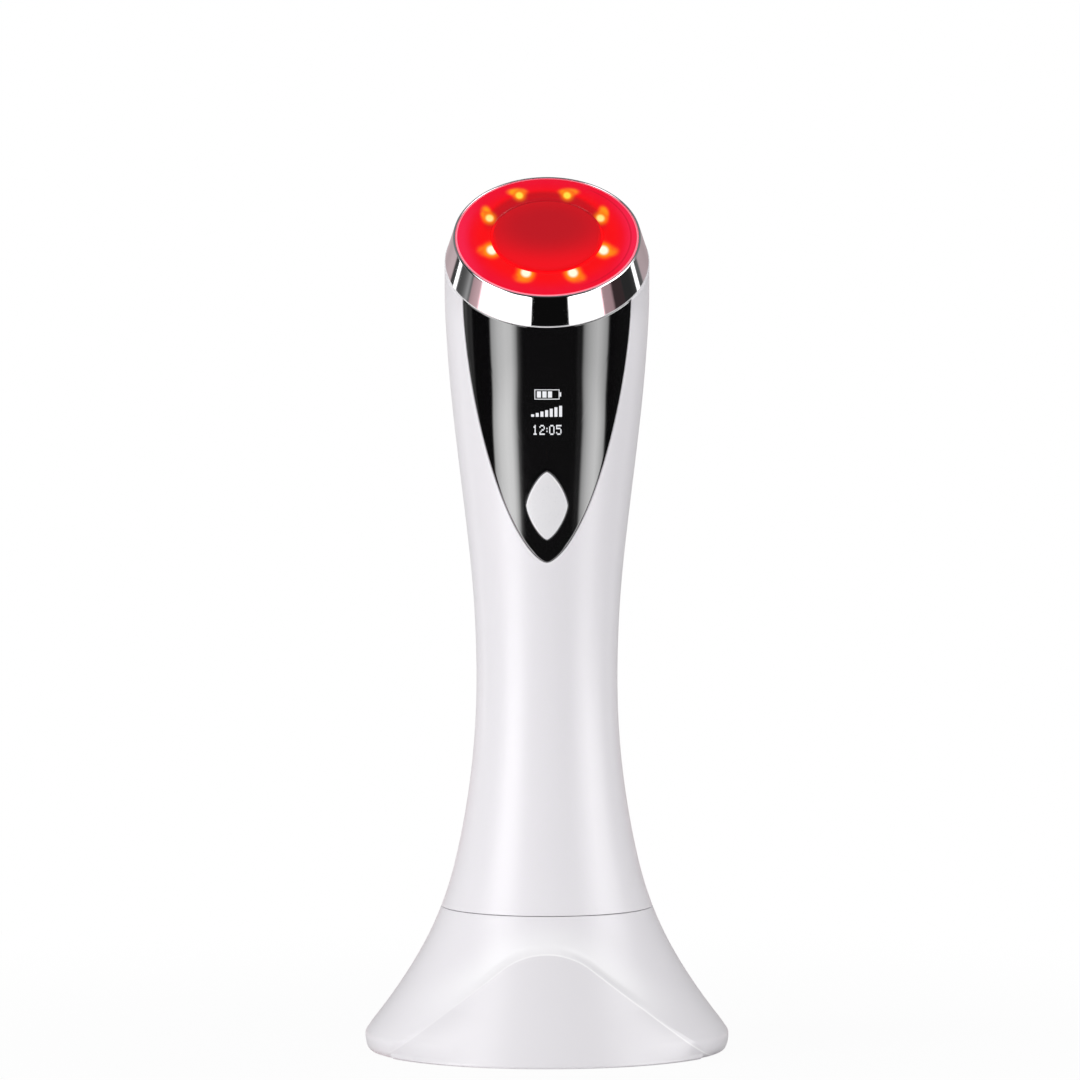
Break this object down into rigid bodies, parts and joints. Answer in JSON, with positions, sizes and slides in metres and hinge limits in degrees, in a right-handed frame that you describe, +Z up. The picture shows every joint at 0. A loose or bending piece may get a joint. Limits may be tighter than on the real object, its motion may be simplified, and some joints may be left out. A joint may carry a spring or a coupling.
{
  "type": "hot and cold facial device",
  "caption": "Slim handset with a tilted, lit heating and cooling treatment head, a display panel and a push button, standing in a flared charging dock.",
  "frame": {"origin": "on the dock's vertical axis, in the plane that its rubber feet stand on", "axes": "+Z up along the handset, -Y towards the front with the display panel and the tilted head's face, +X to the right seen from the front"},
  "size_m": [0.0764, 0.0763, 0.1832],
  "materials": {
    "pearl_white": "gloss pearl white, moulded",
    "panel_black": "piano black gloss",
    "button_silver": "silver painted plastic",
    "chrome": "mirror bright plating",
    "lens_red": "clear tinted plastic lit red",
    "plate_red": "satin metal in red light",
    "dark_seal": "soft seal",
    "dark_plastic": "moulded, matt",
    "black_plastic": "moulded, matt",
    "white_plastic": "moulded, fine grain",
    "display_glass": "dark glass with lit digits",
    "ribbon_amber": "thin film",
    "board_green": "solder resist",
    "chip_black": "moulded packages",
    "led_orange": "lit package",
    "screw_steel": "bright zinc",
    "spring_steel": "drawn wire",
    "nickel": "nickel",
    "contact_gold": "gold plated",
    "cell_blue": "shrink sleeve over the steel can",
    "lead_red": "insulated wire",
    "lead_yellow": "insulated wire",
    "ceramic": "ceramic faces",
    "thermal_grey": "filled silicone",
    "sink_aluminium": "machined",
    "ballast_iron": "painted",
    "foot_rubber": "soft"
  },
  "bodies": {
    "dock": {"dock_shell": "pearl_white", "dock_cup": "dark_plastic", "dock_board": "board_green", "dock_components": "chip_black", "dock_board_screws": "screw_steel", "power_inlet": "nickel", "pin_barrels": "contact_gold", "pin_spring_left": "spring_steel", "pin_spring_right": "spring_steel", "ballast": "ballast_iron", "base_plate": "white_plastic", "base_screws": "screw_steel", "rubber_feet": "foot_rubber"},
    "handset": {"front_shell": "pearl_white", "rear_shell": "pearl_white", "bottom_cap": "pearl_white", "contact_pads": "contact_gold", "cap_screws": "screw_steel", "chassis": "dark_plastic", "display_panel": "panel_black", "display_frame": "black_plastic", "display_module": "display_glass", "display_ribbon": "ribbon_amber", "main_board": "board_green", "board_components": "chip_black", "board_screws": "screw_steel", "tact_switch": "black_plastic", "battery": "cell_blue", "battery_tabs": "nickel", "battery_leads": "lead_red", "charge_leads": "lead_red", "head_carrier": "dark_plastic", "head_screws": "screw_steel", "chrome_ring": "chrome", "lens": "lens_red", "treatment_plate": "plate_red", "plate_gasket": "dark_seal", "led_board": "board_green", "leds": "led_orange", "peltier_module": "ceramic", "peltier_leads": "lead_red", "thermal_pad": "thermal_grey", "heat_sink": "sink_aluminium", "temperature_sensor": "black_plastic", "head_harness": "lead_yellow"},
    "button": {"button_cap": "button_silver", "switch_plunger": "black_plastic"},
    "pin_left": {"charge_pin_left": "contact_gold"},
    "pin_right": {"charge_pin_right": "contact_gold"}
  },
  "joints": [
    {"name": "handset_lift", "type": "slide", "parent": "dock", "child": "handset", "axis": [0, 0, 1], "range_m": [0, 0.03]},
    {"name": "button_press", "type": "slide", "parent": "handset", "child": "button", "axis": [0, 1, 0], "range_m": [0, 0.0004], "stiffness_N_per_m": 1500, "springref_m": -0.0006},
    {"name": "pin_press_left", "type": "slide", "parent": "dock", "child": "pin_left", "axis": [0, 0, -1], "range_m": [0, 0.0008], "stiffness_N_per_m": 500, "springref_m": -0.0006, "deforming": ["pin_spring_left"]},
    {"name": "pin_press_right", "type": "slide", "parent": "dock", "child": "pin_right", "axis": [0, 0, -1], "range_m": [0, 0.0008], "stiffness_N_per_m": 500, "springref_m": -0.0006, "deforming": ["pin_spring_right"]}
  ]
}
